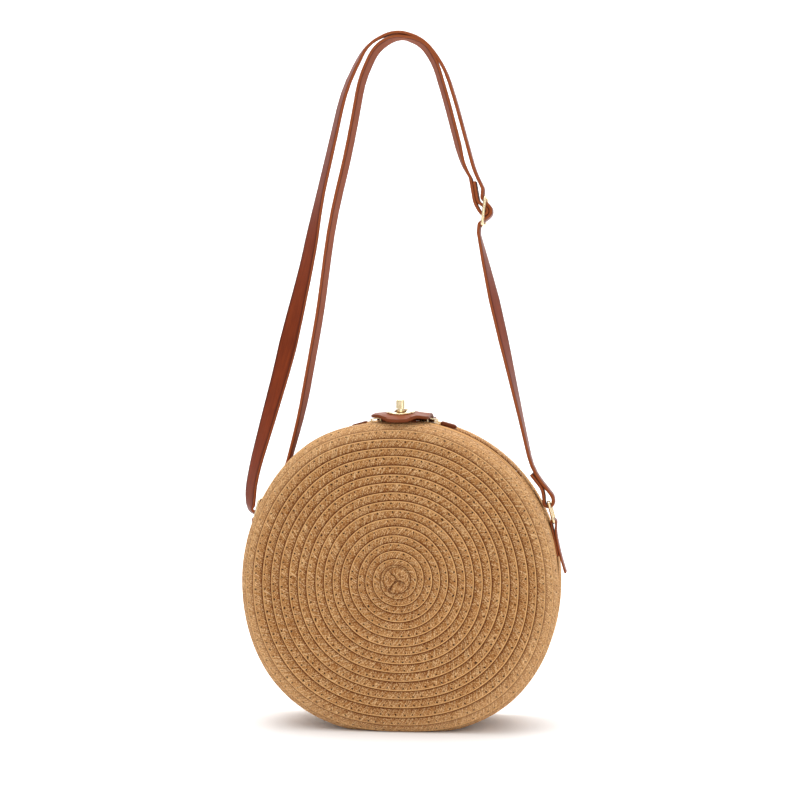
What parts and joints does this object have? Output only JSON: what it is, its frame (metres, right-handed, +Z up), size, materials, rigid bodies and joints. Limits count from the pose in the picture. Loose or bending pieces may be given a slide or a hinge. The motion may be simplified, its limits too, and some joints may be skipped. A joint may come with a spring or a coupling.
{
  "type": "circle bag",
  "caption": "Round straw shoulder bag with spiral-braided faces, a zipped top, a leather turn-lock flap and an adjustable leather strap on side rings.",
  "frame": {"origin": "the middle of the flat patch that the bag stands on", "axes": "+Z up along the strap, +X to the right seen from the front, the front face looks along -Y"},
  "size_m": [0.2084, 0.08, 0.4486],
  "materials": {
    "straw": "braided paper straw, satin",
    "lining": "plain woven cotton",
    "zip_tape": "woven tape, matte",
    "zip_coil": "nylon coil, satin",
    "gilt_metal": "pale gilt, polished",
    "leather": "saddle brown, glossy"
  },
  "bodies": {
    "bag": {"front_panel": "straw", "back_panel": "straw", "gusset_band": "straw", "top_strip_front": "straw", "top_strip_back": "straw", "lining_front": "lining", "lining_back": "lining", "lining_band": "lining", "zip_tape_front": "zip_tape", "zip_tape_back": "zip_tape", "zip_chain_front": "zip_coil", "zip_chain_back": "zip_coil", "right_zip_stop": "gilt_metal", "left_zip_stop": "gilt_metal", "lock_patch": "leather", "lock_base": "gilt_metal", "lock_backing": "gilt_metal", "flap_anchor": "leather", "right_side_tab": "leather", "left_side_tab": "leather", "right_tab_loop": "leather", "left_tab_loop": "leather"},
    "flap": {"closure_flap": "leather", "eyelet_plate": "gilt_metal"},
    "toggle": {"lock_toggle": "gilt_metal"},
    "slider_right": {"right_slider": "gilt_metal"},
    "slider_left": {"left_slider": "gilt_metal"},
    "pull_right": {"right_pull_link": "gilt_metal", "right_pull": "leather"},
    "pull_left": {"left_pull_link": "gilt_metal", "left_pull": "leather"},
    "ring_right": {"right_ring": "gilt_metal"},
    "ring_left": {"left_ring": "gilt_metal"},
    "strap": {"strap_right_end": "leather", "strap_single_run": "leather", "strap_low_adjust": "leather", "strap_outer_adjust": "leather", "strap_inner_adjust": "leather", "strap_outer_run": "leather", "strap_inner_run": "leather", "strap_left_bight": "leather"},
    "buckle": {"slide_buckle": "gilt_metal", "strap_weave": "leather", "strap_sewn_end": "leather"}
  },
  "joints": [
    {"name": "flap_lift", "type": "hinge", "parent": "bag", "child": "flap", "pos_m": [0, 0.01, 0.1993], "axis": [-1, 0, 0], "range_deg": [0, 110]},
    {"name": "toggle_turn", "type": "hinge", "parent": "bag", "child": "toggle", "pos_m": [0, -0.017, 0.202], "axis": [0, 0, 1], "range_deg": [0, 90]},
    {"name": "zip_run_right", "type": "hinge", "parent": "bag", "child": "slider_right", "pos_m": [0, 0, 0.097], "axis": [0, 1, 0], "range_deg": [0, 29.5]},
    {"name": "zip_run_left", "type": "hinge", "parent": "bag", "child": "slider_left", "pos_m": [0, 0, 0.097], "axis": [0, -1, 0], "range_deg": [0, 24]},
    {"name": "pull_flip_right", "type": "hinge", "parent": "slider_right", "child": "pull_right", "pos_m": [0.02035, 0, 0.19636], "axis": [0, -1, 0], "range_deg": [0, 90]},
    {"name": "pull_flip_left", "type": "hinge", "parent": "slider_left", "child": "pull_left", "pos_m": [-0.02035, 0, 0.19636], "axis": [0, 1, 0], "range_deg": [0, 90]},
    {"name": "ring_rock_right", "type": "hinge", "parent": "bag", "child": "ring_right", "pos_m": [0.0975, 0, 0.13191], "axis": [0, 1, 0], "range_deg": [-3.5, 3.5]},
    {"name": "ring_rock_left", "type": "hinge", "parent": "bag", "child": "ring_left", "pos_m": [-0.0975, 0, 0.13191], "axis": [0, -1, 0], "range_deg": [-3.5, 3.5]},
    {"name": "strap_swing", "type": "hinge", "parent": "bag", "child": "strap", "pos_m": [0, 0, 0.14497], "axis": [1, 0, 0], "range_deg": [-45, 45], "deforming": ["strap_right_end", "strap_left_bight"]},
    {"name": "buckle_slide", "type": "slide", "parent": "strap", "child": "buckle", "axis": [-0.2306, 0, 0.973], "range_m": [-0.035, 0.02], "deforming": ["strap_low_adjust", "strap_outer_adjust", "strap_inner_adjust"]}
  ]
}
